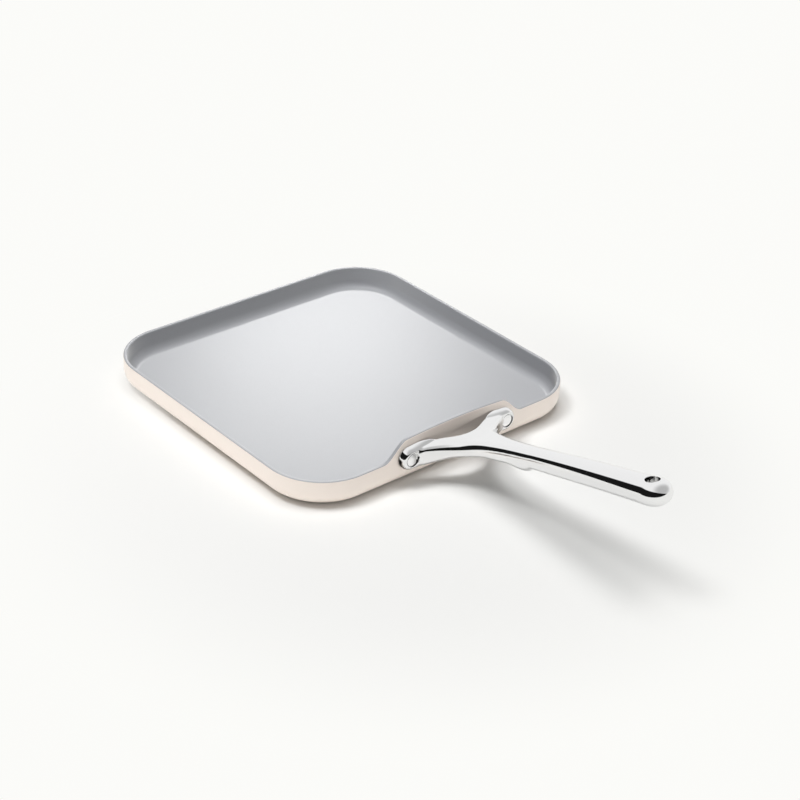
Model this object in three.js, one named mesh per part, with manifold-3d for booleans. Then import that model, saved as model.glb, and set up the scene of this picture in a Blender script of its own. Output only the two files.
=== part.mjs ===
// Square griddle pan: a pressed aluminium pan with a raised tab on one side, a ceramic coating
// inside and out, a perforated steel plate under the base, and a forked steel handle on two rivets.
// Millimetres, +Z up, handle along +X, origin at the centre of the base on the stovetop.

import * as THREE from 'three';
import { mergeVertices } from 'three/addons/utils/BufferGeometryUtils.js';
import Module from 'manifold-3d';

const wasm = await Module();
wasm.setup();

// Pan: sizes over the outside coating, with the heel as the rounding under the wall
const rimSide = 280;
const rimCornerRadius = 48;
const panHeight = 23;
const heelRadius = 11;
const insideRadius = 8;
const wallThickness = 2.6;
const floorThickness = 3;
const coatThickness = 0.3;
const bondGap = 0.05;
const rimEdge = 0.25;

// Raised tab on the handle side: a slightly crowned top that eases down to the rim
const tabRise = 17;
const tabCrown = 4;
const tabShoulder = 48;
const tabFoot = 70;

// Steel plate under the base, with pressed aluminium showing through its holes
const plateSide = 190;
const plateCornerRadius = 22;
const plateThickness = 1;
const plateHoleRadius = 5;
const plateHolePitch = 36;
const plateHolesPerSide = 5;
const plateClearance = 0.3;

// Rivets: a low head inside the pan and a flat head in a spot face on each foot of the handle
const rivetSpacing = 96;
const rivetRadius = 3;
const rivetInnerHeadRadius = 6.5;
const rivetInnerHeadRise = 1.6;
const rivetCrownRadius = 3.9;
const rivetOuterHeadRadius = 5;
const rivetOuterHeadHeight = 2.5;
const rivetClearance = 0.3;
const spotFaceRadius = 5.8;
const seatGap = 0.05;

// Handle fork: round feet against the wall, flaring from a neck
const footThickness = 7;
const footWeb = 4.5;
const footRadius = 9;
const footEdge = 1;
const armReach = 36;
const flareLength = 17;
const webThinning = 2.2;
const archDepth = 14.8;
const archHalfWidth = 44;
const neckWidth = 19;
const neckThickness = 13.6;
const fingerStopStart = 58;
const fingerStopDepth = 3.2;
const fingerStopRamp = 18;
const fingerStopHeel = 8;

// Handle grip: hollow, wider to its round end, with a sleeved hanging hole
const handleTilt = THREE.MathUtils.degToRad(15.9);
const handleBow = 1.7;
const seamReach = 86;
const holeReach = 201.7;
const endWidth = 27;
const endThickness = 19;
const endBluntness = 2.5;
const gripWall = 1.6;
const seamGap = 0.3;
const spigotLength = 10;
const spigotClearance = 0.3;
const hangHoleRadius = 5.5;
const sleeveWall = 0.8;
const sleeveClearance = 0.3;

// Facets
const cornerSteps = 8;
const tabSteps = 28;
const filletSteps = 5;
const sideSteps = 10;
const flareSteps = 12;
const stopSteps = 10;
const gripSteps = 6;
const domeSteps = 5;
const archSteps = 24;
const roundSides = 24;
const holeSides = 12;
const overcut = 20;

// Heights and offsets shared by the pan's layers
const layerStep = coatThickness + bondGap;
const undersideZ = plateThickness + bondGap;
const floorTopZ = undersideZ + floorThickness;
const rimTopZ = panHeight - layerStep;
const coreOuter = layerStep;
const coreInner = coreOuter + wallThickness;
const wallX = rimSide / 2;
const rivetY = rivetSpacing / 2;
const rivetZ = panHeight;

const smoothstep = THREE.MathUtils.smoothstep;
const lerp = THREE.MathUtils.lerp;

// Height of the tab above the rim at a place along the handle side
function tabHeight(y) {
  const out = Math.abs(y);
  const top = tabRise - tabCrown * (out / tabFoot) ** 2;
  return top * (1 - smoothstep(out, tabShoulder, tabFoot));
}

// A rounded square, counted from the +X side; lift carries it up with the tab
function ring(halfSide, radius, z, lift) {
  const straight = halfSide - radius;
  const points = [];
  const tabReach = Math.min(tabFoot, straight);
  for (let i = 0; i <= tabSteps; i++) {
    points.push([halfSide, lerp(-tabReach, tabReach, i / tabSteps)]);
  }
  const corners = [[1, 1], [-1, 1], [-1, -1], [1, -1]];
  corners.forEach(([sx, sy], quarter) => {
    for (let i = 0; i <= cornerSteps; i++) {
      const angle = (quarter + i / cornerSteps) * Math.PI / 2;
      points.push([sx * straight + radius * Math.cos(angle), sy * straight + radius * Math.sin(angle)]);
    }
  });
  return points.map(([x, y]) => new THREE.Vector3(x, y, x > 0 ? z + lift * tabHeight(y) : z));
}

// A ring of the pan's wall, set in from the outside of the rim
function wallRing(inset, z, lift = 0) {
  return ring(rimSide / 2 - inset, rimCornerRadius - inset, z, lift);
}

// Rings up a rounded heel from the edge of a flat floor to the start of the wall
function heelRings(inset, floorZ, radius) {
  const rings = [];
  for (let i = 0; i <= filletSteps; i++) {
    const angle = i / filletSteps * Math.PI / 2;
    const across = inset + radius * (1 - Math.sin(angle));
    rings.push(wallRing(across, floorZ + radius * (1 - Math.cos(angle))));
  }
  return rings;
}

// A closed skin over rings with equal counts, capped at both ends or joined end to end
function loft(rings, joined = false) {
  const count = rings[0].length;
  const positions = rings.flat().flatMap((point) => point.toArray());
  const index = [];
  const bands = joined ? rings.length : rings.length - 1;
  for (let band = 0; band < bands; band++) {
    const low = band * count;
    const high = (band + 1) % rings.length * count;
    for (let i = 0; i < count; i++) {
      const next = (i + 1) % count;
      index.push(low + i, low + next, high + next);
      index.push(low + i, high + next, high + i);
    }
  }
  if (!joined) {
    [[0, -1], [rings.length - 1, 1]].forEach(([end, side]) => {
      const centre = new THREE.Vector3();
      rings[end].forEach((point) => centre.addScaledVector(point, 1 / count));
      const hub = positions.length / 3;
      positions.push(...centre.toArray());
      for (let i = 0; i < count; i++) {
        const here = end * count + i;
        const next = end * count + (i + 1) % count;
        index.push(hub, side > 0 ? here : next, side > 0 ? next : here);
      }
    });
  }
  const geometry = new THREE.BufferGeometry();
  geometry.setAttribute('position', new THREE.Float32BufferAttribute(positions, 3));
  geometry.setIndex(index);
  return facingOut(mergeVertices(geometry));
}

// Signed volume of a closed mesh, positive when its faces point out
function signedVolume(geometry) {
  const place = geometry.getAttribute('position');
  const corners = [new THREE.Vector3(), new THREE.Vector3(), new THREE.Vector3()];
  let volume = 0;
  for (let i = 0; i < geometry.index.count; i += 3) {
    corners.forEach((corner, k) => corner.fromBufferAttribute(place, geometry.index.getX(i + k)));
    volume += corners[0].dot(corners[1].cross(corners[2])) / 6;
  }
  return volume;
}

function facingOut(geometry) {
  if (signedVolume(geometry) < 0) {
    geometry.setIndex(Array.from(geometry.index.array).reverse());
  }
  return geometry;
}

// Conversions between three.js geometry and solids that can be joined and cut
function solid(geometry) {
  const bare = geometry.clone();
  bare.deleteAttribute('normal');
  bare.deleteAttribute('uv');
  const merged = facingOut(mergeVertices(bare));
  const mesh = new wasm.Mesh({
    numProp: 3,
    vertProperties: new Float32Array(merged.getAttribute('position').array),
    triVerts: new Uint32Array(merged.index.array),
  });
  return new wasm.Manifold(mesh);
}

function geometryOf(body) {
  const mesh = body.getMesh();
  const geometry = new THREE.BufferGeometry();
  geometry.setAttribute('position', new THREE.BufferAttribute(mesh.vertProperties, 3));
  geometry.setIndex(new THREE.BufferAttribute(mesh.triVerts, 1));
  return geometry;
}

// A round bar along X from one place to another, centred on a rivet
function barAlongX(radius, from, to, y) {
  const bar = new THREE.CylinderGeometry(radius, radius, to - from, roundSides);
  bar.rotateZ(Math.PI / 2);
  bar.translate((from + to) / 2, y, rivetZ);
  return solid(bar);
}

function withRivetHoles(body) {
  const radius = rivetRadius + rivetClearance;
  return [-rivetY, rivetY].reduce(
    (cut, y) => cut.subtract(barAlongX(radius, wallX - overcut, wallX + overcut, y)),
    body,
  );
}

// Places of the holes in the base plate: a square grid without its centre
function plateHolePlaces() {
  const middle = (plateHolesPerSide - 1) / 2;
  const places = [];
  for (let row = -middle; row <= middle; row++) {
    for (let column = -middle; column <= middle; column++) {
      if (row !== 0 || column !== 0) {
        places.push([row * plateHolePitch, column * plateHolePitch]);
      }
    }
  }
  return places;
}

// Pressed aluminium pan, with studs that fill the plate's holes
function panBody() {
  const shell = loft([
    ...heelRings(coreOuter, undersideZ, heelRadius - coreOuter),
    wallRing(coreOuter, rimTopZ - rimEdge, 1),
    wallRing(coreOuter + rimEdge, rimTopZ, 1),
    wallRing(coreInner - rimEdge, rimTopZ, 1),
    wallRing(coreInner, rimTopZ - rimEdge, 1),
    ...heelRings(coreInner, floorTopZ, insideRadius).reverse(),
  ]);
  const studHeight = undersideZ - plateClearance + floorThickness / 2;
  const stud = new THREE.CylinderGeometry(
    plateHoleRadius - plateClearance,
    plateHoleRadius - plateClearance,
    studHeight,
    holeSides,
  );
  stud.rotateX(Math.PI / 2);
  stud.translate(0, 0, plateClearance + studHeight / 2);
  const body = plateHolePlaces().reduce(
    (joined, [x, y]) => joined.add(solid(stud.clone().translate(x, y, 0))),
    solid(shell),
  );
  return geometryOf(withRivetHoles(body));
}

// Grey ceramic coating over the cooking side, ending over the top of the rim
function cookingCoating() {
  const back = coreInner + bondGap;
  const front = back + coatThickness;
  const backZ = floorTopZ + bondGap;
  const frontZ = backZ + coatThickness;
  const lipZ = rimTopZ + bondGap;
  const shell = loft([
    ...heelRings(back, backZ, insideRadius - bondGap),
    wallRing(back, lipZ, 1),
    wallRing(0, lipZ, 1),
    wallRing(rimEdge, panHeight, 1),
    wallRing(front - rimEdge, panHeight, 1),
    wallRing(front, panHeight - rimEdge, 1),
    ...heelRings(front, frontZ, insideRadius - bondGap - coatThickness).reverse(),
  ]);
  return geometryOf(withRivetHoles(solid(shell)));
}

// Cream ceramic coating over the outside, with a window round the base plate
function outerCoating() {
  const lowZ = undersideZ - layerStep;
  const backZ = undersideZ - bondGap;
  const windowHalf = plateSide / 2 + plateClearance;
  const windowRadius = plateCornerRadius + plateClearance;
  const shell = loft([
    ring(windowHalf, windowRadius, lowZ, 0),
    ...heelRings(0, lowZ, heelRadius),
    wallRing(0, rimTopZ, 1),
    wallRing(coatThickness, rimTopZ, 1),
    ...heelRings(coatThickness, backZ, heelRadius - coatThickness).reverse(),
    ring(windowHalf, windowRadius, backZ, 0),
  ], true);
  return geometryOf(withRivetHoles(solid(shell)));
}

// Perforated steel plate that the pan stands on
function basePlate() {
  const straight = plateSide / 2 - plateCornerRadius;
  const outline = new THREE.Shape();
  outline.absarc(straight, straight, plateCornerRadius, 0, Math.PI / 2);
  outline.absarc(-straight, straight, plateCornerRadius, Math.PI / 2, Math.PI);
  outline.absarc(-straight, -straight, plateCornerRadius, Math.PI, Math.PI * 3 / 2);
  outline.absarc(straight, -straight, plateCornerRadius, Math.PI * 3 / 2, Math.PI * 2);
  outline.closePath();
  plateHolePlaces().forEach(([x, y]) => {
    outline.holes.push(new THREE.Path().absarc(x, y, plateHoleRadius, 0, Math.PI * 2));
  });
  return new THREE.ExtrudeGeometry(outline, {
    depth: plateThickness,
    bevelEnabled: false,
    curveSegments: holeSides / 2,
  });
}

// One rivet, turned about its own axis and laid along X through the wall and the foot
function rivet(y) {
  const innerSeat = wallX - coreInner - layerStep - seatGap;
  const outerSeat = wallX + footWeb + seatGap;
  const face = outerSeat + rivetOuterHeadHeight;
  const profile = [
    [0, innerSeat - rivetInnerHeadRise],
    [rivetCrownRadius, innerSeat - rivetInnerHeadRise],
    [rivetInnerHeadRadius, innerSeat - rivetInnerHeadRise / 2],
    [rivetInnerHeadRadius, innerSeat],
    [rivetRadius, innerSeat],
    [rivetRadius, outerSeat],
    [rivetOuterHeadRadius, outerSeat],
    [rivetOuterHeadRadius, face - rimEdge],
    [rivetOuterHeadRadius - rimEdge, face],
    [0, face],
  ];
  const body = new THREE.LatheGeometry(profile.map(([r, along]) => new THREE.Vector2(r, along)), roundSides);
  body.rotateZ(-Math.PI / 2);
  body.translate(0, y, rivetZ);
  return geometryOf(solid(body));
}

// Centre and lean of the handle at a distance along it from the front of the feet
function handleFrame(along) {
  const share = Math.max(0, along) / holeReach;
  const bow = 4 * handleBow * share * (1 - share);
  const bowLean = Math.atan(4 * handleBow * (1 - 2 * share) / holeReach);
  const centre = new THREE.Vector3(
    wallX + footThickness + along * Math.cos(handleTilt) - bow * Math.sin(handleTilt),
    0,
    rivetZ + along * Math.sin(handleTilt) + bow * Math.cos(handleTilt),
  );
  const lean = (handleTilt + bowLean) * smoothstep(along, 0, 2 * flareLength);
  return { centre, lean };
}

// A section with flat top and bottom and round sides, standing across the handle
function handleSection(centre, lean, halfWidth, halfHeight, extraDepth = 0) {
  const flat = Math.max(0, halfWidth - halfHeight);
  const side = Math.min(halfWidth, halfHeight);
  const points = [];
  [1, -1].forEach((way) => {
    for (let i = 0; i <= sideSteps; i++) {
      const angle = (i / sideSteps - 0.5) * Math.PI;
      const rise = way * Math.sin(angle);
      const up = rise * (rise < 0 ? halfHeight + extraDepth : halfHeight);
      points.push(new THREE.Vector3(
        centre.x - up * Math.sin(lean),
        way * (flat + side * Math.cos(angle)),
        centre.z + up * Math.cos(lean),
      ));
    }
  });
  return points;
}

// Half width and half height of the handle before its round end
function handleHalves(along) {
  const flare = Math.exp(-along / flareLength);
  const taper = Math.max(0, along - seamReach) / (holeReach - seamReach);
  const straightWidth = lerp(neckWidth, endWidth, taper) / 2;
  const straightHeight = lerp(neckThickness, endThickness, taper) / 2;
  return {
    width: straightWidth + armReach * flare,
    height: straightHeight + (footRadius - footEdge - neckThickness / 2) * flare,
  };
}

// A section of the fork or grip, set in from its outside, rounding off past the hanging hole
function handleRing(along, inset = 0) {
  const { centre, lean } = handleFrame(along);
  const halves = handleHalves(Math.min(along, holeReach));
  const width = halves.width - inset;
  const past = Math.max(0, along - holeReach) / width;
  const round = Math.sqrt(Math.max(0, 1 - past ** 2));
  const blunt = Math.max(0, 1 - past ** endBluntness) ** (1 / endBluntness);
  return handleSection(centre, lean, width * round, (halves.height - inset) * blunt, underside(along));
}

// Depth added under the handle: the web is hollowed below, and the finger stop hangs from the neck
function underside(along) {
  const ramp = smoothstep(along, fingerStopStart, fingerStopStart + fingerStopRamp);
  const stop = fingerStopDepth * ramp * (1 - smoothstep(along, seamReach - fingerStopHeel, seamReach));
  const web = smoothstep(along, 0, flareLength) * (1 - smoothstep(along, 2 * flareLength, fingerStopStart));
  return stop - webThinning * web;
}

// Cast fork: two feet, an arch clear of the wall, the neck and a spigot for the grip
function handleYoke() {
  const backX = wallX + seatGap;
  const flat = (x, edge) => handleSection(
    new THREE.Vector3(x, 0, rivetZ),
    0,
    rivetY + footRadius - edge,
    footRadius - edge,
  );
  const frontX = wallX + footThickness;
  const rings = [
    flat(backX, footEdge),
    flat(backX + footEdge, 0),
    flat(frontX - footEdge, 0),
    flat(frontX, footEdge / 2),
  ];
  for (let i = 1; i <= flareSteps; i++) {
    rings.push(handleRing(fingerStopStart * (i / flareSteps) ** 2));
  }
  for (let i = 1; i <= stopSteps; i++) {
    rings.push(handleRing(lerp(fingerStopStart, seamReach, i / stopSteps)));
  }
  const plugInset = gripWall + spigotClearance;
  rings.push(handleRing(seamReach, plugInset));
  rings.push(handleRing(seamReach + spigotLength, plugInset));
  const arch = new THREE.Shape();
  arch.moveTo(wallX - overcut, -archHalfWidth);
  for (let i = 0; i <= archSteps; i++) {
    const y = lerp(-archHalfWidth, archHalfWidth, i / archSteps);
    arch.lineTo(wallX + archDepth * (1 + Math.cos(Math.PI * y / archHalfWidth)) / 2, y);
  }
  arch.lineTo(wallX - overcut, archHalfWidth);
  arch.closePath();
  const archCut = new THREE.ExtrudeGeometry(arch, { depth: panHeight + 2 * overcut, bevelEnabled: false });
  let body = solid(loft(rings)).subtract(solid(archCut));
  [-rivetY, rivetY].forEach((y) => {
    body = body.subtract(barAlongX(spotFaceRadius, wallX + footWeb, wallX + 2 * overcut, y));
  });
  return geometryOf(withRivetHoles(body));
}

// Places along the grip for its sections, ending close to the tip
function gripPlaces(from, halfWidth) {
  const places = [];
  for (let i = 0; i <= gripSteps; i++) {
    places.push(lerp(from, holeReach, i / gripSteps));
  }
  for (let i = 1; i <= domeSteps; i++) {
    places.push(holeReach + halfWidth * Math.sin(i / (domeSteps + 0.5) * Math.PI / 2));
  }
  return places;
}

// A round bar across the grip along the axis of the hanging hole
function barAcrossGrip(radius) {
  const { centre, lean } = handleFrame(holeReach);
  const bar = new THREE.CylinderGeometry(radius, radius, 2 * endThickness, roundSides);
  bar.rotateX(Math.PI / 2);
  bar.rotateY(-lean);
  bar.translate(centre.x, centre.y, centre.z);
  return solid(bar);
}

function gripOutside(from) {
  return gripPlaces(from, endWidth / 2).map((along) => handleRing(along));
}

// Hollow grip, open where the spigot enters and drilled for the sleeve
function handleGrip() {
  const start = seamReach + seamGap;
  const inside = gripPlaces(start, endWidth / 2 - gripWall).map((along) => handleRing(along, gripWall));
  const shell = solid(loft([...gripOutside(start).reverse(), ...inside]));
  return geometryOf(shell.subtract(barAcrossGrip(hangHoleRadius + sleeveWall + sleeveClearance)));
}

// Sleeve that lines the hanging hole, flush with the grip's outside
function hangHoleSleeve() {
  const outside = solid(loft(gripOutside(seamReach)));
  const tube = barAcrossGrip(hangHoleRadius + sleeveWall).subtract(barAcrossGrip(hangHoleRadius));
  return geometryOf(tube.intersect(outside));
}

const aluminium = new THREE.MeshStandardMaterial({ color: 0xc6c8cb, roughness: 0.45, metalness: 1 });
const greyCeramic = new THREE.MeshStandardMaterial({ color: 0xa9abb1, roughness: 0.42, metalness: 0 });
const creamCeramic = new THREE.MeshStandardMaterial({ color: 0xf1e3d6, roughness: 0.3, metalness: 0 });
const plateSteel = new THREE.MeshStandardMaterial({ color: 0xb4b5b7, roughness: 0.38, metalness: 1 });
const polishedSteel = new THREE.MeshStandardMaterial({ color: 0xe2e3e4, roughness: 0.06, metalness: 1 });
const rivetSteel = new THREE.MeshStandardMaterial({ color: 0xd4d5d6, roughness: 0.18, metalness: 1 });

const pan = new THREE.Group();

function addPiece(name, geometry, material) {
  const piece = new THREE.Mesh(geometry, material);
  geometry.computeVertexNormals();
  piece.name = name;
  pan.add(piece);
}

addPiece('pan_body', panBody(), aluminium);
addPiece('cooking_coating', cookingCoating(), greyCeramic);
addPiece('outer_coating', outerCoating(), creamCeramic);
addPiece('base_plate', basePlate(), plateSteel);
addPiece('handle_yoke', handleYoke(), polishedSteel);
addPiece('handle_grip', handleGrip(), polishedSteel);
addPiece('hang_hole_sleeve', hangHoleSleeve(), polishedSteel);
addPiece('rivet_left', rivet(-rivetY), rivetSteel);
addPiece('rivet_right', rivet(rivetY), rivetSteel);

export default pan;
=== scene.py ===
import math

import bmesh
import bpy
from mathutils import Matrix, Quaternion, Vector


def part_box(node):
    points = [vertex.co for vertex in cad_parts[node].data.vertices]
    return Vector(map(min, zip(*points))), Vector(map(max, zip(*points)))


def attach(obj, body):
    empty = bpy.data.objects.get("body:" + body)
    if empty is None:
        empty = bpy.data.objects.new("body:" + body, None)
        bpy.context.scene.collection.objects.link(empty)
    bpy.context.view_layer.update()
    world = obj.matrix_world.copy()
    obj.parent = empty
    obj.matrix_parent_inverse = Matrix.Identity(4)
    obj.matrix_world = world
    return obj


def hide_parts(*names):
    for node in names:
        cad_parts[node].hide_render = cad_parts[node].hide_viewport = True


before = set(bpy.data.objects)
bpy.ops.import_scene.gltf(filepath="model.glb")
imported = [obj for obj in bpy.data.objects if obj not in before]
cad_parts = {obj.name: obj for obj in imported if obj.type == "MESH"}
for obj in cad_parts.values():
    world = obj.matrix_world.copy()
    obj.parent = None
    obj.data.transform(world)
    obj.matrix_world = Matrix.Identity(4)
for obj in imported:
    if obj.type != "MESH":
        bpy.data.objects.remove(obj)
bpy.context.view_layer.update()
scene = bpy.context.scene
mm = 0.001  # pieces are modelled in millimetres and brought to metres at the end
weld = 0.001  # points closer than this become one
slack = 0.01  # a point this near a plane counts as on it


# small helpers

def smoothStep(value, low, high):
    share = min(1, max(0, (value - low) / (high - low)))
    return share * share * (3 - 2 * share)


def mix(low, high, share):
    return low + (high - low) * share


def quarterTurn(steps):
    return [math.pi / 2 * i / steps for i in range(steps + 1)]


def nodeBox(name):
    low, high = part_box(name)
    return low / mm, high / mm


def onlyVerts(geom):
    return [g for g in geom if isinstance(g, bmesh.types.BMVert)]


def openEdges(verts):
    picked = set(verts)
    return [e for v in verts for e in v.link_edges
            if e.verts[0] is v and e.other_vert(v) in picked and len(e.link_faces) < 2]


def closeEnd(bm, edges):
    bmesh.ops.edgeloop_fill(bm, edges=edges)


def tidyNormals(bm):
    bmesh.ops.recalc_face_normals(bm, faces=bm.faces)


def turnAboutY(bm, verts, angle):
    turn = Quaternion((0, 1, 0), angle).to_matrix()
    bmesh.ops.rotate(bm, cent=(0, 0, 0), matrix=turn, verts=verts)


def spinOutline(outline, centre, axis, steps):
    bm = bmesh.new()
    points = [bm.verts.new(point) for point in outline]
    edges = [bm.edges.new(pair) for pair in zip(points, points[1:])]
    bmesh.ops.spin(bm, geom=points + edges, cent=centre, axis=axis, angle=2 * math.pi,
                   steps=steps, use_merge=True)
    bmesh.ops.remove_doubles(bm, verts=bm.verts, dist=weld)
    return bm


def meshObject(name, bm):
    bmesh.ops.scale(bm, vec=(mm, mm, mm), verts=bm.verts)
    mesh = bpy.data.meshes.new(name)
    bm.to_mesh(mesh)
    bm.free()
    piece = bpy.data.objects.new(name, mesh)
    scene.collection.objects.link(piece)
    return piece


def bake(piece):
    # turn the live modifiers into plain mesh
    shown = piece.evaluated_get(bpy.context.evaluated_depsgraph_get())
    mesh = bpy.data.meshes.new_from_object(shown)
    piece.modifiers.clear()
    piece.data = mesh


def cutWith(piece, cutter):
    cut = piece.modifiers.new("cut", "BOOLEAN")
    cut.operation = "DIFFERENCE"
    cut.solver = "EXACT"
    cut.object = cutter
    bake(piece)
    bpy.data.objects.remove(cutter)


pieceNames = []  # filled as the pieces are dressed


def dress(piece, material, nodes, sharpAngle=35):
    piece.data.materials.clear()
    piece.data.materials.append(material)
    piece.data.shade_smooth()
    piece.data.set_sharp_from_angle(angle=math.radians(sharpAngle))
    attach(piece, "root")
    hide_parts(*nodes)
    pieceNames.append(piece.name)
    print("made", piece.name, len(piece.data.polygons), "faces")


# finishes

noiseSpan = (0.3, 0.7)  # most of a noise pattern lies between these


def newFinish(name):
    material = bpy.data.materials.new(name)
    material.use_nodes = True
    nodes = material.node_tree.nodes
    return material, nodes, material.node_tree.links, nodes["Principled BSDF"]


def newMetal(name, colour):
    material, nodes, links, shader = newFinish(name)
    shader.inputs["Base Color"].default_value = (*colour, 1)
    shader.inputs["Metallic"].default_value = 1
    return material, nodes, links, shader


def noiseAt(nodes, links, scale, detail=2.0, stretch=(1, 1, 1)):
    place = nodes.new("ShaderNodeTexCoord")
    mapping = nodes.new("ShaderNodeMapping")
    mapping.inputs["Scale"].default_value = stretch
    noise = nodes.new("ShaderNodeTexNoise")
    noise.inputs["Scale"].default_value = scale
    noise.inputs["Detail"].default_value = detail
    links.new(place.outputs["Object"], mapping.inputs["Vector"])
    links.new(mapping.outputs["Vector"], noise.inputs["Vector"])
    return noise


def tintBy(nodes, links, noise, low, high, socket):
    ramp = nodes.new("ShaderNodeValToRGB")
    ramp.color_ramp.elements[0].position = noiseSpan[0]
    ramp.color_ramp.elements[1].position = noiseSpan[1]
    ramp.color_ramp.elements[0].color = (*low, 1)
    ramp.color_ramp.elements[1].color = (*high, 1)
    links.new(noise.outputs["Fac"], ramp.inputs["Fac"])
    links.new(ramp.outputs["Color"], socket)


def spreadBy(nodes, links, noise, low, high, socket):
    spread = nodes.new("ShaderNodeMapRange")
    spread.inputs["From Min"].default_value = noiseSpan[0]
    spread.inputs["From Max"].default_value = noiseSpan[1]
    spread.inputs["To Min"].default_value = low
    spread.inputs["To Max"].default_value = high
    links.new(noise.outputs["Fac"], spread.inputs["Value"])
    links.new(spread.outputs["Result"], socket)


def bumpBy(nodes, links, noise, strength, height, socket):
    bump = nodes.new("ShaderNodeBump")
    bump.inputs["Strength"].default_value = strength
    bump.inputs["Distance"].default_value = height
    links.new(noise.outputs["Fac"], bump.inputs["Height"])
    links.new(bump.outputs["Normal"], socket)


greyLook = {
    "dark": (0.332, 0.339, 0.357),
    "light": (0.355, 0.363, 0.382),
    "roughness": (0.28, 0.32),
    "ior": 1.75,
    "speckle": 1400.0,
    "cloud": 220.0,
    "grainStrength": 0.12,
    "grainDepth": 0.00004,
}


def greyCeramic():
    material, nodes, links, shader = newFinish("greyCeramic")
    speckle = noiseAt(nodes, links, greyLook["speckle"])
    cloud = noiseAt(nodes, links, greyLook["cloud"], detail=4)
    tintBy(nodes, links, speckle, greyLook["dark"], greyLook["light"], shader.inputs["Base Color"])
    spreadBy(nodes, links, cloud, *greyLook["roughness"], shader.inputs["Roughness"])
    shader.inputs["IOR"].default_value = greyLook["ior"]
    bumpBy(nodes, links, speckle, greyLook["grainStrength"], greyLook["grainDepth"], shader.inputs["Normal"])
    return material


creamLook = {
    "dark": (0.925, 0.832, 0.755),
    "light": (0.945, 0.852, 0.775),
    "roughness": (0.29, 0.37),
    "speckle": 900.0,
    "cloud": 40.0,
    "peelStrength": 0.1,
    "peelDepth": 0.00005,
}


def creamCeramic():
    material, nodes, links, shader = newFinish("creamCeramic")
    speckle = noiseAt(nodes, links, creamLook["speckle"])
    cloud = noiseAt(nodes, links, creamLook["cloud"], detail=4)
    tintBy(nodes, links, cloud, creamLook["dark"], creamLook["light"], shader.inputs["Base Color"])
    spreadBy(nodes, links, cloud, *creamLook["roughness"], shader.inputs["Roughness"])
    bumpBy(nodes, links, speckle, creamLook["peelStrength"], creamLook["peelDepth"], shader.inputs["Normal"])
    return material


steelLook = {
    "polished": (0.83, 0.83, 0.83),
    "polishedRoughness": (0.05, 0.09),
    "rivet": (0.88, 0.88, 0.88),
    "rivetRoughness": (0.10, 0.18),
    "plate": (0.56, 0.56, 0.57),
    "plateRoughness": (0.29, 0.45),
    "smear": 240.0,
    "rivetSmear": 960.0,
    "brushing": 30.0,
    "strokeStretch": (0.4, 60, 1),
    "strokeStrength": 0.2,
    "strokeDepth": 0.00003,
}


def polishedSteel():
    material, nodes, links, shader = newMetal("polishedSteel", steelLook["polished"])
    smear = noiseAt(nodes, links, steelLook["smear"], detail=6)
    spreadBy(nodes, links, smear, *steelLook["polishedRoughness"], shader.inputs["Roughness"])
    return material


def rivetSteel():
    material, nodes, links, shader = newMetal("rivetSteel", steelLook["rivet"])
    smear = noiseAt(nodes, links, steelLook["rivetSmear"], detail=6)
    spreadBy(nodes, links, smear, *steelLook["rivetRoughness"], shader.inputs["Roughness"])
    return material


def plateSteel():
    material, nodes, links, shader = newMetal("plateSteel", steelLook["plate"])
    strokes = noiseAt(nodes, links, steelLook["brushing"], detail=3, stretch=steelLook["strokeStretch"])
    spreadBy(nodes, links, strokes, *steelLook["plateRoughness"], shader.inputs["Roughness"])
    bumpBy(nodes, links, strokes, steelLook["strokeStrength"], steelLook["strokeDepth"],
           shader.inputs["Normal"])
    return material


aluminiumLook = {
    "colour": (0.62, 0.63, 0.64),
    "roughness": (0.38, 0.52),
    "grain": 1800.0,
    "grainStrength": 0.15,
    "grainDepth": 0.00004,
}


def pressedAluminium():
    material, nodes, links, shader = newMetal("pressedAluminium", aluminiumLook["colour"])
    grain = noiseAt(nodes, links, aluminiumLook["grain"])
    spreadBy(nodes, links, grain, *aluminiumLook["roughness"], shader.inputs["Roughness"])
    bumpBy(nodes, links, grain, aluminiumLook["grainStrength"], aluminiumLook["grainDepth"],
           shader.inputs["Normal"])
    return material


print("finishes ready")


# pan: three skins lofted from the same rounded square

pan = {
    "corner": 48,
    "height": 23,
    "heel": 11,
    "inside": 7.65,
    "wall": 3.3,  # over both coatings
    "coat": 0.3,
    "bond": 0.05,
    "lowest": 0.7,  # the cream under the base stops short of the stovetop
    "floorTop": 4.4,
    "rimInside": 1.0,
    "rimOutside": 1.1,
    "rimSplit": math.radians(43),  # where the grey starts, round the rim's outer edge
    "rimGap": math.radians(3),  # and how far below it the cream stops
    "hold": 0.4,  # distance of the extra loops that keep flats flat
    "cornerSteps": 20,
    "filletSteps": 10,
    "rimSteps": 5,
    "tabCuts": 91,
}
pan["half"] = nodeBox("outer_coating")[1].y

tab = {"rise": 17, "crown": 4, "shoulder": 48, "foot": 70}


def tabHeight(y):
    out = abs(y)
    top = tab["rise"] - tab["crown"] * (out / tab["foot"]) ** 2
    return top * (1 - smoothStep(out, tab["shoulder"], tab["foot"]))


def wallSection(inset, z, lift=0):
    return (pan["half"] - inset, pan["corner"] - inset, z, lift)


def moveRing(verts, old, new):
    # slide each point from one rounded square to the other, and up the tab
    oldFlat = old[0] - old[1]
    newFlat = new[0] - new[1]
    for v in verts:
        centre = Vector((min(oldFlat, max(-oldFlat, v.co.x)), min(oldFlat, max(-oldFlat, v.co.y))))
        outward = (v.co.xy - centre).normalized()
        spot = centre * (newFlat / oldFlat) + outward * new[1]
        rise = tabHeight(spot.y) * new[3] if spot.x > 0 else 0
        v.co = (spot.x, spot.y, new[2] + rise)


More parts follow.
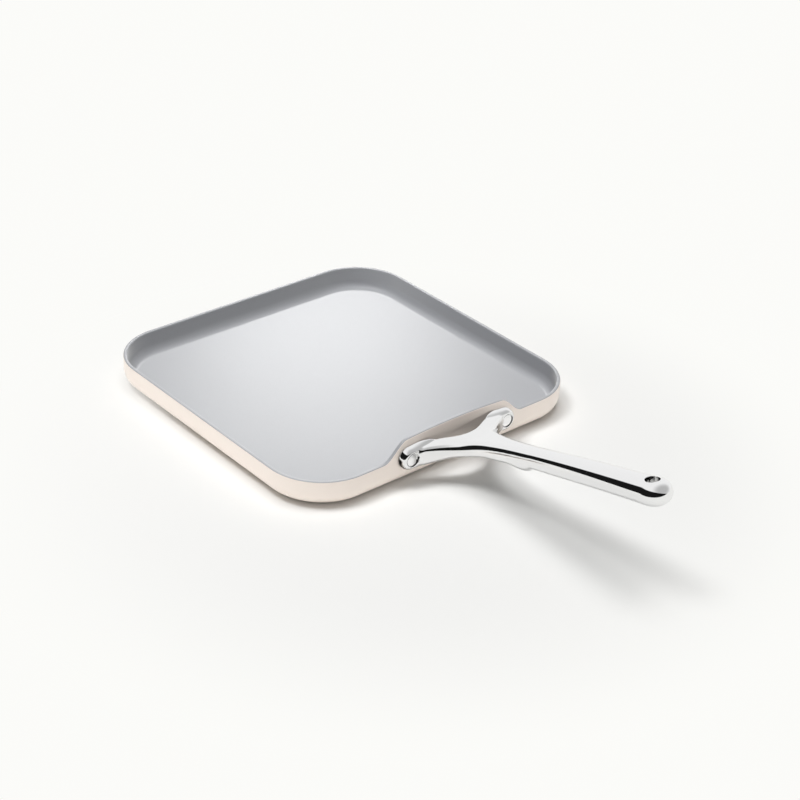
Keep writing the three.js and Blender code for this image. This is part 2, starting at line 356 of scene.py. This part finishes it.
def roundedSquare(bm, half, radius):
    corners = bmesh.ops.create_grid(bm, x_segments=1, y_segments=1, size=half)["verts"]
    bmesh.ops.bevel(bm, geom=corners, offset=radius, offset_type="OFFSET", affect="VERTICES",
                    segments=pan["cornerSteps"], profile=0.5, material=-1)


def firstRing(bm, section):
    half, radius = section[:2]
    roundedSquare(bm, half, radius)
    handleSide = [e for e in bm.edges if all(v.co.x > half - slack for v in e.verts)]
    bmesh.ops.subdivide_edges(bm, edges=handleSide, cuts=pan["tabCuts"])
    moveRing(bm.verts, section, section)
    return list(bm.edges)


def loft(bm, sections):
    # returns the first and last edge loops
    first = firstRing(bm, sections[0])
    last = first
    for old, new in zip(sections, sections[1:]):
        made = onlyVerts(bmesh.ops.extrude_edge_only(bm, edges=last)["geom"])
        moveRing(made, old, new)
        last = openEdges(made)
    return first, last


def caps(bm):
    # flat ends are the only faces with more than four corners
    return [f for f in bm.faces if len(f.verts) > 4]


def fillet(inset, floorZ, radius):
    arc = [wallSection(inset + radius * (1 - math.sin(a)), floorZ + radius * (1 - math.cos(a)))
           for a in quarterTurn(pan["filletSteps"])]
    floorEdge = wallSection(inset + radius + pan["hold"], floorZ)
    wallFoot = wallSection(inset, floorZ + radius + pan["hold"])
    return [floorEdge, *arc, wallFoot]


def outerEdge(outer, top, radius, start, end):
    # round the rim's outer edge, from wall to top as the turn goes from 0 to a right angle
    steps = pan["rimSteps"]
    turns = [mix(start, end, i / steps) for i in range(steps + 1)]
    return [wallSection(outer + radius * (1 - math.cos(a)), top - radius * (1 - math.sin(a)), 1)
            for a in turns]


def rim(outer, inner, top, outerRadius, innerRadius, start=0):
    # over the rim from its outer edge to the inside wall
    back = [wallSection(inner - innerRadius * (1 - math.sin(a)), top - innerRadius * (1 - math.cos(a)), 1)
            for a in quarterTurn(pan["rimSteps"])]
    low = wallSection(inner, top - innerRadius - pan["hold"], 1)
    return [*outerEdge(outer, top, outerRadius, start, math.pi / 2), *back, low]


def makeCookingCoating():
    coat = pan["coat"]
    back = pan["wall"] - coat
    sections = fillet(back, pan["floorTop"] - coat, pan["inside"] + coat)
    split = pan["rimSplit"]
    under = rim(coat, back, pan["height"] - coat, pan["rimOutside"] - coat, pan["rimInside"] - coat, split)
    sections += under[::-1]
    sections += rim(0, pan["wall"], pan["height"], pan["rimOutside"], pan["rimInside"], split)
    sections += fillet(pan["wall"], pan["floorTop"], pan["inside"])[::-1]
    bm = bmesh.new()
    last = loft(bm, sections)[1]
    closeEnd(bm, last)
    tidyNormals(bm)
    return meshObject("cookingCoating", bm)


plate = {
    "side": 190,
    "corner": 22,
    "thickness": 1,
    "clearance": 0.3,
    "holeRadius": 5,
    "pitch": 36,
    "perSide": 5,
    "holeSteps": 40,
    "edge": 0.15,
    "edgeSteps": 2,
    "sharpFrom": 1,  # radians, so that only the plate's right angles are rounded
}


def windowSection(z):
    return (plate["side"] / 2 + plate["clearance"], plate["corner"] + plate["clearance"], z, 0)


def makeOuterCoating():
    coat = pan["coat"]
    split = pan["rimSplit"] - pan["rimGap"]
    outside = fillet(0, pan["lowest"], pan["heel"])
    outside += outerEdge(0, pan["height"], pan["rimOutside"], 0, split)
    inside = fillet(coat, pan["lowest"] + coat, pan["heel"] - coat)
    inside += outerEdge(coat, pan["height"] - coat, pan["rimOutside"] - coat, 0, split)
    sections = [windowSection(pan["lowest"]), *outside, *inside[::-1], windowSection(pan["lowest"] + coat)]
    bm = bmesh.new()
    first, last = loft(bm, sections)
    bmesh.ops.delete(bm, geom=caps(bm), context="FACES_ONLY")
    bmesh.ops.bridge_loops(bm, edges=first + last)
    tidyNormals(bm)
    return meshObject("outerCoating", bm)


def holePlaces():
    middle = (plate["perSide"] - 1) / 2
    steps = [(i - middle) * plate["pitch"] for i in range(plate["perSide"])]
    return [(x, y) for x in steps for y in steps if x or y]


def holeRing(bm, spot, radius, z):
    ring = bmesh.ops.create_circle(bm, segments=plate["holeSteps"], radius=radius)["verts"]
    bmesh.ops.translate(bm, vec=(*spot, z), verts=ring)
    return openEdges(ring)


def makePressedPan():
    step = pan["coat"] + pan["bond"]
    base = pan["lowest"] + step
    sections = fillet(step, base, pan["heel"] - step)
    sections += rim(step, pan["wall"] - step, pan["height"] - step,
                    pan["rimOutside"] - step, pan["rimInside"] - step)
    sections += fillet(pan["wall"] - step, pan["floorTop"] - step, pan["inside"] + step)[::-1]
    bm = bmesh.new()
    first, last = loft(bm, sections)
    closeEnd(bm, last)
    underneath = [f for f in caps(bm) if f.calc_center_median().z < base + slack]
    bmesh.ops.delete(bm, geom=underneath, context="FACES_ONLY")
    # studs that show through the plate's holes
    rings = [holeRing(bm, spot, plate["holeRadius"] - plate["clearance"], base) for spot in holePlaces()]
    bmesh.ops.triangle_fill(bm, use_beauty=True, edges=first + [e for ring in rings for e in ring])
    for ring in rings:
        low = onlyVerts(bmesh.ops.extrude_edge_only(bm, edges=ring)["geom"])
        bmesh.ops.translate(bm, vec=(0, 0, plate["clearance"] - base), verts=low)
        closeEnd(bm, openEdges(low))
    tidyNormals(bm)
    return meshObject("pressedPan", bm)


def makeBasePlate():
    bm = bmesh.new()
    roundedSquare(bm, plate["side"] / 2, plate["corner"])
    bmesh.ops.delete(bm, geom=list(bm.faces), context="FACES_ONLY")
    for spot in holePlaces():
        holeRing(bm, spot, plate["holeRadius"], 0)
    bmesh.ops.triangle_fill(bm, use_beauty=True, edges=list(bm.edges))
    top = bmesh.ops.extrude_face_region(bm, geom=list(bm.faces))["geom"]
    bmesh.ops.translate(bm, vec=(0, 0, plate["thickness"]), verts=onlyVerts(top))
    tidyNormals(bm)
    sharp = [e for e in bm.edges if e.calc_face_angle(0) > plate["sharpFrom"]]
    bmesh.ops.bevel(bm, geom=sharp, offset=plate["edge"], offset_type="OFFSET", affect="EDGES",
                    segments=plate["edgeSteps"], profile=0.5, material=-1)
    return meshObject("basePlate", bm)


dress(makeCookingCoating(), greyCeramic(), ["cooking_coating"])
dress(makeOuterCoating(), creamCeramic(), ["outer_coating"])
dress(makePressedPan(), pressedAluminium(), ["pan_body"])
dress(makeBasePlate(), plateSteel(), ["base_plate"])


# rivets, spun about their own axis

rivet = {
    "shank": 3,
    "innerHead": 6.5,
    "innerRise": 1.6,
    "outerHead": 5,
    "outerHeight": 2.5,
    "outerCrown": 0.35,
    "round": 0.45,
    "foot": 4.5,  # metal of the foot under the outer head
    "seat": 0.05,
    "turns": 48,
    "arcSteps": 5,
    "crownSteps": 4,
}


def makeRivet(name, node):
    low, high = nodeBox(node)
    y = (low.y + high.y) / 2
    z = (low.z + high.z) / 2
    innerSeat = pan["half"] - pan["wall"] - rivet["seat"]
    outerSeat = pan["half"] + rivet["foot"] + rivet["seat"]
    face = outerSeat + rivet["outerHeight"]
    edge = rivet["round"]
    turns = quarterTurn(rivet["arcSteps"])
    outline = [(rivet["innerHead"] * math.sin(a), innerSeat - rivet["innerRise"] * math.cos(a))
               for a in turns]
    outline += [(rivet["shank"], innerSeat), (rivet["shank"], outerSeat), (rivet["outerHead"], outerSeat)]
    rimFace = face - rivet["outerCrown"]
    outline += [(rivet["outerHead"] - edge * (1 - math.cos(a)), rimFace - edge * (1 - math.sin(a)))
                for a in turns]
    flat = rivet["outerHead"] - edge
    for i in reversed(range(rivet["crownSteps"])):
        share = i / rivet["crownSteps"]
        outline.append((flat * share, face - rivet["outerCrown"] * share ** 2))
    outline = [(along, y, z + out) for out, along in outline]
    bm = spinOutline(outline, (0, y, z), (1, 0, 0), rivet["turns"])
    tidyNormals(bm)
    return meshObject(name, bm)


rivetFinish = rivetSteel()
dress(makeRivet("rivetLeft", "rivet_left"), rivetFinish, ["rivet_left"])
dress(makeRivet("rivetRight", "rivet_right"), rivetFinish, ["rivet_right"])


# handle: one line from the feet to the hanging hole, cut at the weld into fork and grip

ellipse = 2  # the squareness of a plain ellipse

handle = {
    "tilt": math.radians(15.9),
    "bow": 1.7,
    "holeReach": 201.7,
    "seam": 86,
    "neckWidth": 19,
    "neckThickness": 13.6,
    "endWidth": 26.92,
    "endThickness": 18.94,
    "endBluntness": 2.5,
    "squareness": 2.9,
    "squareBy": 3,  # distance in which the feet's ellipse turns square
    "endSquareness": 2.1,
    "sideSteps": 72,
    "gripStep": 1.2,
    "domeSteps": 24,
    "domeSpare": 0.2,  # these two leave a small flat at the tip
    "tipSlack": 0.04,
}
fork = {
    "footRadius": 9,
    "footThickness": 7,
    "footEdge": 1,
    "footRound": 5,  # depth and inset of the rounding on the front of a foot
    "footInset": 2.5,
    "footSteps": 6,
    "archLift": 0.34,  # the top is raised along the arch, and an arm falls to its far edge
    "liftReach": 16,
    "liftSpan": (4, 28),  # the lift is less at the middle and whole from the second of these
    "middleLift": 0.4,
    "armFall": 0.24,
    "fallFrom": 0.8,  # as a share of the neck's half width
    "leastSpread": 0.02,
    "footBlend": (28, 12),  # how far before and past the inside of a foot both die out
    "seat": 0.05,
    "armReach": 36,
    "flare": 17,
    "webThinning": 2.2,
    "archDepth": 14.8,
    "archHalf": 44,
    "stopStart": 58,
    "stopDepth": 3.2,
    "stopRamp": 18,
    "stopHeel": 8,
    "spare": 10,  # length past the weld that is trimmed off again
    "stepGrowth": 1.5,
    "voxel": 0.5,
    "relax": 0.5,
    "smoothing": 12,
    "spotRadius": 5.8,
    "spotSteps": 64,
    "overcut": 30,
    "archSteps": 60,
    "onPlane": 1e-7,  # metres
}
fork["rivetY"] = sum(corner.y for corner in nodeBox("rivet_right")) / 2
fork["rivetZ"] = sum(corner.z for corner in nodeBox("rivet_right")) / 2


def handleLine(along):
    # centre and lean at a distance from the front of the feet, bowed in a parabola
    share = max(0, along) / handle["holeReach"]
    bow = 4 * handle["bow"] * share * (1 - share)
    bowLean = math.atan(4 * handle["bow"] * (1 - 2 * share) / handle["holeReach"])
    tilt = handle["tilt"]
    x = pan["half"] + fork["footThickness"] + along * math.cos(tilt) - bow * math.sin(tilt)
    z = fork["rivetZ"] + along * math.sin(tilt) + bow * math.cos(tilt)
    return x, z, (tilt + bowLean) * smoothStep(along, 0, 2 * fork["flare"])


def underside(along):
    ramp = smoothStep(along, fork["stopStart"], fork["stopStart"] + fork["stopRamp"])
    heel = smoothStep(along, handle["seam"] - fork["stopHeel"], handle["seam"])
    stop = fork["stopDepth"] * ramp * (1 - heel)
    web = smoothStep(along, 0, fork["flare"]) * (1 - smoothStep(along, 2 * fork["flare"], fork["stopStart"]))
    return stop - fork["webThinning"] * web


def handleSection(along):
    # x, z, lean, half width, half height, extra depth below, share of flat top, squareness
    body = min(along, handle["holeReach"])
    flare = math.exp(-body / fork["flare"])
    taper = max(0, body - handle["seam"]) / (handle["holeReach"] - handle["seam"])
    width = mix(handle["neckWidth"], handle["endWidth"], taper) / 2 + fork["armReach"] * flare
    padSwell = fork["footRadius"] - fork["footEdge"] - handle["neckThickness"] / 2
    height = mix(handle["neckThickness"], handle["endThickness"], taper) / 2 + padSwell * flare
    past = max(0, along - handle["holeReach"]) / width
    width *= math.sqrt(max(0, 1 - past ** 2))
    height *= max(0, 1 - past ** handle["endBluntness"]) ** (1 / handle["endBluntness"])
    crowned = smoothStep(along, fork["flare"], handle["seam"])
    square = mix(ellipse, handle["squareness"], smoothStep(along, 0, handle["squareBy"]))
    square = mix(square, handle["endSquareness"], smoothStep(taper, 0, 1))
    return (*handleLine(along), width, height, underside(along), 1 - crowned, square)


def footSection(x, edge):
    reach = fork["rivetY"] + fork["footRadius"] - edge
    return (x, fork["rivetZ"], 0, reach, fork["footRadius"] - edge, 0, 1, ellipse)


def archReach(y):
    return fork["archDepth"] * (1 + math.cos(math.pi * min(1, abs(y) / fork["archHalf"]))) / 2


def armHeight(x, y):
    # what the fork's height is multiplied by, from the arch out to the far edge of an arm
    out = abs(y)
    near = pan["half"] + archReach(y)
    spread = max(fork["leastSpread"], min(1, (out - handle["neckWidth"] / 2) / fork["armReach"]))
    far = pan["half"] + fork["footThickness"] - fork["flare"] * math.log(spread) * math.cos(handle["tilt"])
    share = min(1, max(0, (x - near) / (far - near)))
    whole = mix(fork["middleLift"], 1, smoothStep(out, *fork["liftSpan"]))
    lift = fork["archLift"] * (1 - smoothStep(x - near, 0, fork["liftReach"])) * whole
    fallStart = fork["fallFrom"] * handle["neckWidth"] / 2
    fall = fork["armFall"] * share * smoothStep(out, fallStart, handle["neckWidth"])
    footEnd = fork["rivetY"] - fork["footRadius"] / 2
    before, past = fork["footBlend"]
    return 1 + (lift - fall) * (1 - smoothStep(out, footEnd - before, footEnd + past))


def placeSection(verts, turn, section):
    x, z, lean, width, height, below, flatShare, square = section
    flat = max(0, width - height) * flatShare
    power = ellipse / square
    for v in verts:
        across = math.cos(v[turn])
        rise = math.sin(v[turn])
        side = math.copysign(flat + (width - flat) * abs(across) ** power, across)
        up = math.copysign(abs(rise) ** power, rise) * (height + (below if rise < 0 else 0))
        v.co = (x - up * math.sin(lean), side, z + up * math.cos(lean))


def sweepHandle(bm, sections):
    turn = bm.verts.layers.float.new("turn")
    ring = bmesh.ops.create_circle(bm, segments=handle["sideSteps"], radius=1, cap_ends=True)["verts"]
    for i, v in enumerate(ring):
        v[turn] = 2 * math.pi * (i + 0.5) / len(ring)
    placeSection(ring, turn, sections[0])
    edges = openEdges(ring)
    for section in sections[1:]:
        ring = onlyVerts(bmesh.ops.extrude_edge_only(bm, edges=edges)["geom"])
        placeSection(ring, turn, section)
        edges = openEdges(ring)
    closeEnd(bm, edges)
    tidyNormals(bm)


def makeArch():
    bm = bmesh.new()
    made = bmesh.ops.create_grid(bm, x_segments=1, y_segments=fork["archSteps"], size=1)["verts"]
    for v in made:
        y = v.co.y * fork["archHalf"]
        v.co = (pan["half"] + (archReach(y) if v.co.x > 0 else -fork["overcut"]), y, 0)
    top = bmesh.ops.extrude_face_region(bm, geom=list(bm.faces))["geom"]
    bmesh.ops.translate(bm, vec=(0, 0, 2 * fork["overcut"]), verts=onlyVerts(top))
    tidyNormals(bm)
    return meshObject("arch", bm)


def slopeArms(piece):
    # only the upper half of the fork is raised and lowered
    for v in piece.data.vertices:
        x, y, z = v.co / mm
        middle = handleLine(max(0, x - pan["half"] - fork["footThickness"]) / math.cos(handle["tilt"]))[1]
        if z > middle:
            v.co.z = mm * (middle + (z - middle) * armHeight(x, y))


def makeSpotFaces():
    bm = bmesh.new()
    depth = fork["overcut"]
    for y in (-fork["rivetY"], fork["rivetY"]):
        bar = bmesh.ops.create_cone(bm, cap_ends=True, segments=fork["spotSteps"], depth=depth,
                                    radius1=fork["spotRadius"], radius2=fork["spotRadius"])["verts"]
        turnAboutY(bm, bar, math.pi / 2)
        bmesh.ops.translate(bm, vec=(pan["half"] + rivet["foot"] + depth / 2, y, fork["rivetZ"]), verts=bar)
    tidyNormals(bm)
    return meshObject("spotFaces", bm)


def trimAtSeam(piece):
    x, z, lean = handleLine(handle["seam"])
    bm = bmesh.new()
    bm.from_mesh(piece.data)
    along = Vector((math.cos(lean), 0, math.sin(lean)))
    cut = bmesh.ops.bisect_plane(bm, geom=bm.verts[:] + bm.edges[:] + bm.faces[:], dist=fork["onPlane"],
                                 plane_co=Vector((x, 0, z)) * mm, plane_no=along, clear_outer=True)
    closeEnd(bm, [g for g in cut["geom_cut"] if isinstance(g, bmesh.types.BMEdge)])
    bm.to_mesh(piece.data)
    bm.free()


def makeFork():
    back = pan["half"] + fork["seat"]
    front = pan["half"] + fork["footThickness"]
    edge = fork["footEdge"]
    sections = [footSection(back, edge), footSection(back + edge, 0)]
    for a in quarterTurn(fork["footSteps"]):
        x = front - fork["footRound"] * (1 - math.sin(a))
        sections.append(footSection(x, fork["footInset"] * (1 - math.cos(a))))
    last = handle["seam"] + fork["spare"]
    steps = int(last)
    sections += [handleSection(last * (i / steps) ** fork["stepGrowth"]) for i in range(1, steps + 1)]
    bm = bmesh.new()
    sweepHandle(bm, sections)
    piece = meshObject("handleFork", bm)
    cutWith(piece, makeArch())
    skin = piece.modifiers.new("skin", "REMESH")
    skin.mode = "VOXEL"
    skin.voxel_size = fork["voxel"] * mm
    relax = piece.modifiers.new("relax", "SMOOTH")
    relax.factor = fork["relax"]
    relax.iterations = fork["smoothing"]
    bake(piece)
    slopeArms(piece)
    cutWith(piece, makeSpotFaces())
    trimAtSeam(piece)
    return piece


hangHole = {"radius": 5.5, "lip": 0.6, "lipSteps": 6, "turns": 64, "proud": 12}


def makeHoleCutter():
    # a spun bar that opens out at both faces of the grip, so that the mouths are rounded
    x, z, lean = handleLine(handle["holeReach"])
    half = handle["endThickness"] / 2
    radius = hangHole["radius"]
    lip = hangHole["lip"]
    end = half + hangHole["proud"]
    upper = [(radius + lip * (1 - math.cos(a)), half - lip * (1 - math.sin(a)))
             for a in quarterTurn(hangHole["lipSteps"])]
    upper += [(radius + lip, end), (0, end)]
    lower = [(out, -up) for out, up in upper[::-1]]
    outline = [(out, 0, up) for out, up in lower + upper]
    bm = spinOutline(outline, (0, 0, 0), (0, 0, 1), hangHole["turns"])
    turnAboutY(bm, bm.verts, -lean)
    bmesh.ops.translate(bm, vec=(x, 0, z), verts=bm.verts)
    tidyNormals(bm)
    return meshObject("holeCutter", bm)


def makeGrip():
    start, end = handle["seam"], handle["holeReach"]
    count = round((end - start) / handle["gripStep"])
    places = [mix(start, end, i / count) for i in range(count + 1)]
    tip = handle["endWidth"] / 2 - handle["tipSlack"]
    places += [end + tip * math.sin(math.pi / 2 * i / (handle["domeSteps"] + handle["domeSpare"]))
               for i in range(1, handle["domeSteps"] + 1)]
    bm = bmesh.new()
    sweepHandle(bm, [handleSection(along) for along in places])
    piece = meshObject("handleGrip", bm)
    cutWith(piece, makeHoleCutter())
    return piece


steel = polishedSteel()
dress(makeFork(), steel, ["handle_yoke"], sharpAngle=50)
dress(makeGrip(), steel, ["handle_grip", "hang_hole_sleeve"], sharpAngle=40)


# floor, light and camera

studio = {
    "floorHalf": 6.0,
    "floorDrop": 0.0002,
    "floorColour": (0.98, 0.98, 0.965),
    "paperWhite": (0.968, 0.968, 0.945),  # what the camera sees of the floor away from the pan
    "middle": (0.12, -0.03, 0),
    "paperFrom": 0.15,
    "paperFull": 0.34,
    "aim": (0.08, 0, 0.02),
    "mirroredBox": "sheenBox",  # the only lamp that shows in reflections
}
softboxes = {
    "keyBox": {"from": (-0.25, -0.33, 1.0), "distance": 2.4, "size": (0.7, 0.7), "power": 22},
    "sheenBox": {"from": (-0.714, 0.533, 0.454), "distance": 3.0, "size": (0.6, 0.6), "power": 7.3},
    "topBox": {"from": (-0.05, 0.1, 1.0), "distance": 3.0, "size": (1.6, 1.6), "power": 42},
    "leftBox": {"from": (-0.15, -0.95, 0.2), "distance": 2.6, "size": (1.6, 0.5), "power": 21},
    "rightBox": {"from": (0.95, 0.1, 0.2), "distance": 2.6, "size": (1.6, 0.5), "power": 18.5},
}


def combine(tree, operation, first, second):
    sums = tree.nodes.new("ShaderNodeMath")
    sums.operation = operation
    tree.links.new(first, sums.inputs[0])
    tree.links.new(second, sums.inputs[1])
    return sums.outputs["Value"]


def measure(tree, operation, source, vector):
    against = tree.nodes.new("ShaderNodeVectorMath")
    against.operation = operation
    against.inputs[1].default_value = vector
    tree.links.new(source, against.inputs[0])
    return against.outputs["Value"]


def fadeBetween(tree, source, low, high, start=0, end=1):
    fade = tree.nodes.new("ShaderNodeMapRange")
    fade.interpolation_type = "SMOOTHSTEP"
    fade.inputs["From Min"].default_value = low
    fade.inputs["From Max"].default_value = high
    fade.inputs["To Min"].default_value = start
    fade.inputs["To Max"].default_value = end
    tree.links.new(source, fade.inputs["Value"])
    return fade.outputs["Result"]


def choose(tree, share, first, second):
    pick = tree.nodes.new("ShaderNodeMixShader")
    tree.links.new(share, pick.inputs["Fac"])
    tree.links.new(first, pick.inputs[1])
    tree.links.new(second, pick.inputs[2])
    return pick.outputs["Shader"]


def makeFloor():
    # paper that takes the shadow, fades to white away from the pan and is clear from below
    bm = bmesh.new()
    bmesh.ops.create_grid(bm, x_segments=1, y_segments=1, size=studio["floorHalf"] / mm)
    bmesh.ops.translate(bm, vec=(0, 0, -studio["floorDrop"] / mm), verts=bm.verts)
    floor = meshObject("floor", bm)
    material, nodes, links, shader = newFinish("paleFloor")
    nodes.remove(shader)
    tree = material.node_tree
    paper = nodes.new("ShaderNodeBsdfDiffuse")
    paper.inputs["Color"].default_value = (*studio["floorColour"], 1)
    white = nodes.new("ShaderNodeEmission")
    white.inputs["Color"].default_value = (*studio["paperWhite"], 1)
    below = nodes.new("ShaderNodeBsdfTransparent")
    side = nodes.new("ShaderNodeNewGeometry")
    place = nodes.new("ShaderNodeTexCoord")
    ray = nodes.new("ShaderNodeLightPath")
    away = measure(tree, "DISTANCE", place.outputs["Object"], studio["middle"])
    fade = fadeBetween(tree, away, studio["paperFrom"], studio["paperFull"])
    straight = combine(tree, "MAXIMUM", ray.outputs["Is Camera Ray"], ray.outputs["Is Transmission Ray"])
    looked = combine(tree, "MAXIMUM", straight, ray.outputs["Is Glossy Ray"])
    seen = combine(tree, "MULTIPLY", fade, looked)
    backdrop = choose(tree, seen, paper.outputs["BSDF"], white.outputs["Emission"])
    surface = choose(tree, side.outputs["Backfacing"], backdrop, below.outputs["BSDF"])
    links.new(surface, nodes["Material Output"].inputs["Surface"])
    floor.data.materials.append(material)


def makeSoftbox(name, box):
    lamp = bpy.data.lights.new(name, "AREA")
    lamp.shape = "RECTANGLE"
    lamp.size, lamp.size_y = box["size"]
    lamp.energy = box["power"]
    light = bpy.data.objects.new(name, lamp)
    way = Vector(box["from"]).normalized()
    light.location = Vector(studio["aim"]) + way * box["distance"]
    light.rotation_euler = way.to_track_quat("Z", "Y").to_euler()
    light.visible_glossy = name == studio["mirroredBox"]
    scene.collection.objects.link(light)


def groupOf(groupName, names):
    group = bpy.data.collections.new(groupName)
    for name in names:
        group.objects.link(scene.objects[name])
    return group


def shareLight():
    # the side lamps leave the floor alone, and the sheen is for the cooking side
    wholePan = groupOf("wholePan", pieceNames)
    for name in ("leftBox", "rightBox"):
        scene.objects[name].light_linking.receiver_collection = wholePan
    sheen = scene.objects["sheenBox"].light_linking
    sheen.receiver_collection = groupOf("cookingSide", ["cookingCoating"])
    # the pan's walls neither stop the sheen nor show in reflections
    sheen.blocker_collection = groupOf("sheenBlockers", ["handleFork", "handleGrip"])
    for name in ("cookingCoating", "outerCoating", "pressedPan"):
        scene.objects[name].visible_glossy = False


room = {
    "brightWay": (0, 0.557, 0.831),  # away from the unlit, low side of the studio behind the camera
    "darkBelow": 0.27,
    "brightFrom": 0.33,
    "dimWay": (0.62, 0.27, 0.737),  # and the ceiling to the right is dimmer
    "dimFrom": 0.42,
    "dimFull": 0.93,
    "dimShare": 0.55,
    "mirrorWhite": 1.0,  # what the steel and glazes reflect
    "mirrorDark": 0.01,
    "softLight": 0.15,  # what lights the pan from all round
}


def makeRoom():
    # white to the camera, soft light on the pan, and a dark front and dimmer ceiling in reflections
    world = bpy.data.worlds.new("studioRoom")
    world.use_nodes = True
    scene.world = world
    tree = world.node_tree
    glow = tree.nodes["Background"]
    glow.inputs["Color"].default_value = (1, 1, 1, 1)
    way = tree.nodes.new("ShaderNodeTexCoord").outputs["Generated"]
    facing = measure(tree, "DOT_PRODUCT", way, room["brightWay"])
    bright = fadeBetween(tree, facing, room["darkBelow"], room["brightFrom"],
                         room["mirrorDark"], room["mirrorWhite"])
    facing = measure(tree, "DOT_PRODUCT", way, room["dimWay"])
    dim = fadeBetween(tree, facing, room["dimFrom"], room["dimFull"], 1, room["dimShare"])
    mirrored = combine(tree, "MULTIPLY", bright, dim)
    ray = tree.nodes.new("ShaderNodeLightPath")
    pick = tree.nodes.new("ShaderNodeMix")
    pick.inputs["A"].default_value = room["softLight"]
    tree.links.new(ray.outputs["Is Glossy Ray"], pick.inputs["Factor"])
    tree.links.new(mirrored, pick.inputs["B"])
    straight = combine(tree, "MAXIMUM", ray.outputs["Is Camera Ray"], ray.outputs["Is Transmission Ray"])
    strength = combine(tree, "MAXIMUM", pick.outputs["Result"], straight)
    tree.links.new(strength, glow.inputs["Strength"])


view = {
    "place": (1.0499, -0.8496, 0.7859),
    "lookAt": (0.0434, 0.0271, 0.0),
    "roll": 2.24,
    "lens": 85.95,
}


def makeCamera():
    data = bpy.data.cameras.new("view")
    data.lens = view["lens"]
    camera = bpy.data.objects.new("view", data)
    camera.location = view["place"]
    aim = (Vector(view["lookAt"]) - Vector(view["place"])).to_track_quat("-Z", "Y")
    camera.rotation_mode = "QUATERNION"
    camera.rotation_quaternion = aim @ Quaternion((0, 0, 1), math.radians(view["roll"]))
    scene.collection.objects.link(camera)
    scene.camera = camera


makeFloor()
for boxName, box in softboxes.items():
    makeSoftbox(boxName, box)
shareLight()
makeRoom()
makeCamera()
scene.view_settings.view_transform = "Standard"
print("stage ready")
